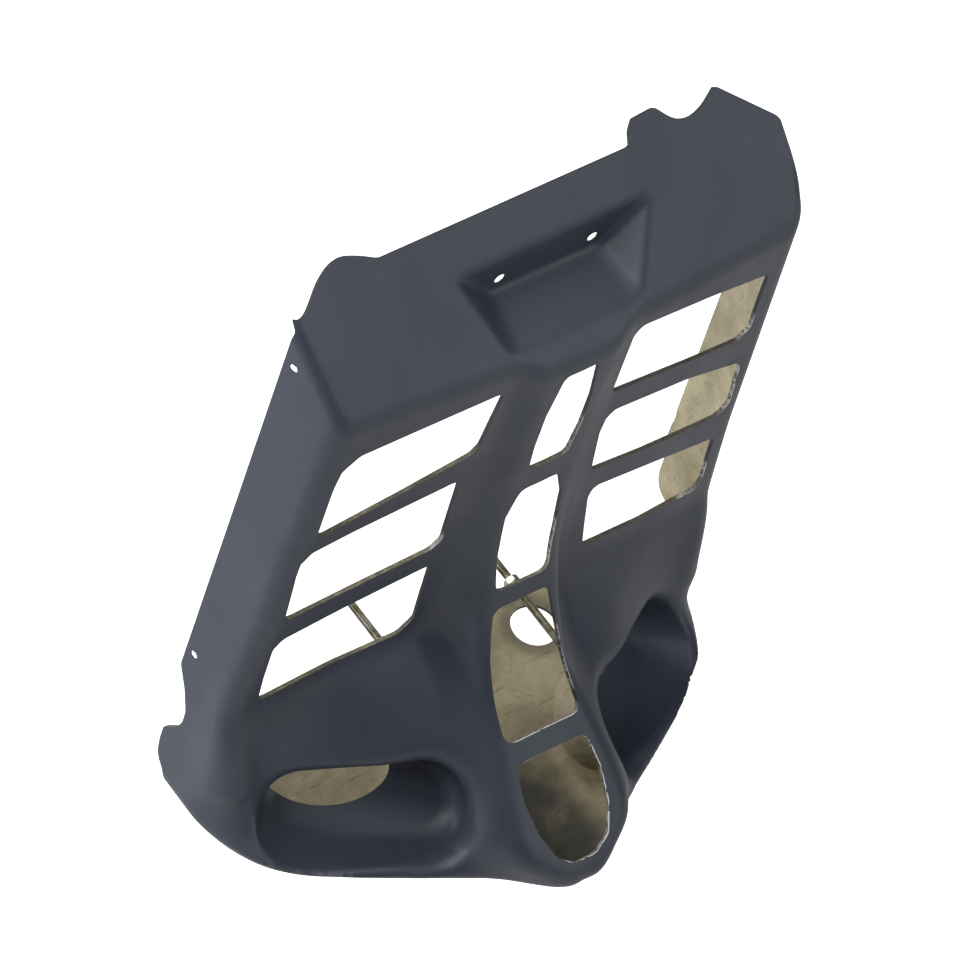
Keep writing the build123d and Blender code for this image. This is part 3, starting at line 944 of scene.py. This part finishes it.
def studRod(side):
    # radius = outer radius less a triangle wave of (distance along / pitch - angle / full turn),
    # drawn in at both ends, with a closing point on the axis
    count = int((stud["rear"] - stud["front"]) / stud["pitch"] * stud["perTurn"])
    y = np.linspace(stud["front"], stud["rear"], count)
    t = np.arange(stud["around"]) / stud["around"]
    yy, tt = np.meshgrid(y, t, indexing="ij")
    wave = np.abs(2 * ((yy / stud["pitch"] - tt) % 1) - 1)
    radius = stud["r"] - stud["thread"] * wave
    fromEnd = np.minimum(yy - stud["front"], stud["rear"] - yy)
    radius = np.minimum(radius, stud["r"] - stud["point"] + fromEnd)
    verts = turnedGrid(radius, yy, tt * 2 * np.pi, side)
    ends = [[side * stud["x"], y[end], stud["z"]] for end in (0, -1)]
    return closedTube(verts, count, stud["around"], ends)


def nutBody(side):
    # a loop of profile points carried round the axis: the outer radius is the hexagon's at each
    # angle, and near both faces no more than a cone's
    angle = anglesRound(nut["around"])
    flat = nut["across"] / 2
    hexagon = flat / np.cos((angle + np.pi / 6) % (np.pi / 3) - np.pi / 6)
    y0, y1 = nut["front"], nut["front"] + nut["height"]
    depth = np.array(nut["bevelDepths"])
    bore, mouth, edge = nut["boreR"], nut["boreR"] + nut["boreBevel"], nut["boreBevel"]
    cone = nut["faceR"] + depth / np.tan(np.radians(nut["bevelAngle"]))
    rows = [(nut["faceR"], y0)]
    rows += [(np.minimum(hexagon, r), y0 + d) for d, r in zip(depth[1:], cone[1:])]
    rows += [(np.minimum(hexagon, r), y1 - d) for d, r in zip(depth[:0:-1], cone[:0:-1])]
    rows += [(nut["faceR"], y1), (mouth, y1), (bore, y1 - edge), (bore, y0 + edge), (mouth, y0)]
    return closedRing(rows, angle, side)


def washerRing(side):
    # a rectangle with softened corners carried round the axis
    rear = nut["front"]
    front = rear - washer["thickness"]
    s, e = washer["soft"], washer["boreBevel"]
    outer, bore = washer["r"], washer["boreR"]
    profile = [(outer - s, front), (outer - 0.3 * s, front + 0.3 * s), (outer, front + s), (outer, rear - s),
               (outer - 0.3 * s, rear - 0.3 * s), (outer - s, rear), (bore + e, rear), (bore, rear - e),
               (bore, front + e), (bore + e, front)]
    return closedRing(profile, anglesRound(washer["around"]), side)


def resinPad(side):
    # a mound round the stud's foot: radius grows forwards as a quarter circle does, is uneven, and
    # stops inside the cover's wall
    t = np.linspace(0, 1, resin["along"])
    y = resin["rear"] + (resin["front"] - resin["rear"]) * t
    tt, aa = np.meshgrid(t, anglesRound(resin["around"]), indexing="ij")
    spread = np.sqrt(np.clip(1 - (1 - tt) ** 2, 0, 1)) * mix(resin["waist"], 1.0, tt)
    radius = mix(stud["r"], resin["r"], spread)
    x, z = radius * np.cos(aa), radius * np.sin(aa)
    lumps = ripple(x, tt * 2 * resin["lumpLength"], z, resin["lumpLength"], 1.0 + side)
    radius = radius + resin["lump"] * ramp(tt, 0, 1 / 3) * lumps
    verts = turnedGrid(radius, np.repeat(y[:, None], resin["around"], 1), aa, side)
    for _ in range(3):
        over = np.maximum(coverField(*verts.T) + resin["sink"] * cover["wall"], 0)
        verts = verts - normalsAt(verts) * over[:, None]
    places = (y[0] + 0.3, verts[-resin["around"]:, 1].mean())
    ends = [[side * stud["x"], place, stud["z"]] for place in places]
    return closedTube(verts, resin["along"], resin["around"], ends, True)


for word, side in (("left", -1), ("right", 1)):
    rod = addPiece(word + "_threaded_stud", *studRod(side), [finishes["zinc"]], sharpAngle=35.0)
    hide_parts(word + "_stud")
    hexNut = addPiece(word + "_hex_nut", *nutBody(side), [finishes["zinc"]], sharpAngle=25.0)
    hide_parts(word + "_nut")
    ring = addPiece(word + "_plain_washer", *washerRing(side), [finishes["zinc"]], sharpAngle=40.0)
    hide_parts(word + "_washer")
    pad = addPiece(word + "_resin_pad", *resinPad(side), [finishes["resin"]], sharpAngle=60.0)


studio = {
    "floorZ": -0.80, "floorHalf": 7.0, "floorColour": (0.5, 0.5, 0.5), "floorGlow": 0.3, "floorSeen": 1.2,
    "sky": (1.0, 1.0, 1.0), "skyStrength": 0.03,
    "lights": [
        # name, place, size, power
        ("softboxLow", (-2.2, 1.4, -0.5), 2.4, 70.0),
        ("softboxNear", (-0.8, 0.3, 0.7), 1.3, 16.0),
        ("softboxOver", (0.0, 0.2, 1.0), 1.4, 5.0),
        ("softboxFront", (1.3, -2.4, 1.1), 3.2, 35.0),
    ],
}
view = {
    "azimuth": -51.914, "elevation": 51.814, "roll": 20.073, "distance": 5.3862,
    "target": (-0.02487, -0.03440, -0.19542), "lens": 301.26,
}


def makeFloor():
    half = studio["floorHalf"]
    mesh = bpy.data.meshes.new("floor")
    corners = [(-half, -half), (half, -half), (half, half), (-half, half)]
    mesh.from_pydata([(x, y, studio["floorZ"]) for x, y in corners], [], [(0, 1, 2, 3)])
    material, tree, shader, _ = newFinish("paleFloor")
    # lit from below like a light table, and seen as plain white
    seen = addNode(tree, "ShaderNodeLightPath").outputs["Is Camera Ray"]
    glow = remap(tree, seen, 0.0, 1.0, studio["floorGlow"], studio["floorSeen"])
    feed(tree, shader, {"Base Color": studio["floorColour"], "Roughness": 0.9,
                        "Emission Color": (1.0, 1.0, 1.0), "Emission Strength": glow})
    mesh.materials.append(material)
    floor = bpy.data.objects.new("floor", mesh)
    bpy.context.scene.collection.objects.link(floor)


def aimed(place, target):
    back = (Vector(place) - Vector(target)).normalized()
    return back.to_track_quat("Z", "Y").to_matrix().to_4x4()


def makeLights():
    world = bpy.data.worlds.new("paleStudio")
    world.use_nodes = True
    sky = {"Color": studio["sky"], "Strength": studio["skyStrength"]}
    feed(world.node_tree, world.node_tree.nodes["Background"], sky)
    bpy.context.scene.world = world
    for name, place, size, power in studio["lights"]:
        light = bpy.data.lights.new(name, "AREA")
        light.shape = "SQUARE"
        light.size = size
        light.energy = power
        lamp = bpy.data.objects.new(name, light)
        lamp.matrix_world = Matrix.Translation(place) @ aimed(place, view["target"])
        lamp.visible_camera = False
        bpy.context.scene.collection.objects.link(lamp)


def makeCamera():
    # back points from the target to the camera; right and up are level, then turned by the roll
    azimuth, elevation, roll = [np.radians(view[key]) for key in ("azimuth", "elevation", "roll")]
    back = np.array([np.sin(azimuth), -np.cos(azimuth), 0.0]) * np.cos(elevation)
    back[2] = np.sin(elevation)
    level = np.array([np.cos(azimuth), np.sin(azimuth), 0.0])
    up = np.cross(back, level)
    right = np.cos(roll) * level + np.sin(roll) * up
    top = np.cross(back, right)
    place = np.array(view["target"]) + back * view["distance"]
    data = bpy.data.cameras.new("camera")
    data.lens = view["lens"]
    data.clip_end = 50.0
    camera = bpy.data.objects.new("camera", data)
    rows = [(*row, where) for row, where in zip(np.stack([right, top, back], 1), place)]
    camera.matrix_world = Matrix(rows + [(0, 0, 0, 1)])
    bpy.context.scene.collection.objects.link(camera)
    bpy.context.scene.camera = camera


bpy.context.scene.view_settings.view_transform = "Standard"
makeFloor()
makeLights()
makeCamera()
print("stage ready")
